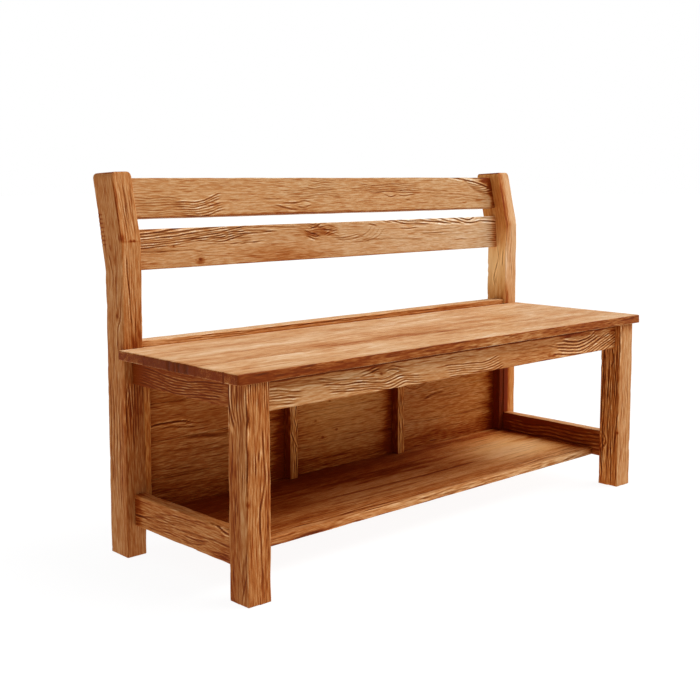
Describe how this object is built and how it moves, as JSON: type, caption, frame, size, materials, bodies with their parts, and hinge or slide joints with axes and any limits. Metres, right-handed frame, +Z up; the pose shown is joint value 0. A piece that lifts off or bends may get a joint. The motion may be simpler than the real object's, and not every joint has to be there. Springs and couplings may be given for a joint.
{
  "type": "shoe storage bench",
  "caption": "Softwood bench with a low slatted back, a thick plank seat and an open shoe bay over a low shelf.",
  "frame": {"origin": "on the floor, under the middle of the bench's bounding box", "axes": "+X along the bench to its right end, +Y to its back, +Z up"},
  "size_m": [1.324, 0.515, 0.822],
  "materials": {
    "seat_wood": "wire-brushed softwood, warm light honey stain, satin",
    "frame_wood": "wire-brushed softwood, honey stain, satin",
    "back_wood": "wire-brushed softwood, darker honey stain, satin",
    "screw_steel": "zinc-plated steel"
  },
  "bodies": {
    "root": {"front_left_leg": "frame_wood", "front_right_leg": "frame_wood", "rear_left_post": "frame_wood", "rear_right_post": "frame_wood", "front_apron": "frame_wood", "left_side_apron": "frame_wood", "right_side_apron": "frame_wood", "left_side_rail": "frame_wood", "right_side_rail": "frame_wood", "rear_seat_rail": "frame_wood", "rear_lower_rail": "back_wood", "top_back_slat": "frame_wood", "lower_back_slat": "frame_wood", "seat_plank_1": "seat_wood", "seat_plank_2": "seat_wood", "seat_plank_3": "seat_wood", "seat_plank_4": "seat_wood", "seat_plank_5": "seat_wood", "shelf_plank_1": "frame_wood", "shelf_plank_2": "frame_wood", "shelf_plank_3": "frame_wood", "back_board_1": "back_wood", "back_board_2": "back_wood", "back_board_3": "back_wood", "left_end_batten": "back_wood", "left_mid_batten": "back_wood", "right_mid_batten": "back_wood", "right_end_batten": "back_wood", "left_seat_bearer": "back_wood", "right_seat_bearer": "back_wood", "left_seat_cleat": "back_wood", "right_seat_cleat": "back_wood", "left_shelf_bearer": "back_wood", "right_shelf_bearer": "back_wood", "seat_screws": "screw_steel", "shelf_screws": "screw_steel", "back_screws": "screw_steel", "shelf_dowels": "seat_wood"}
  },
  "joints": []
}
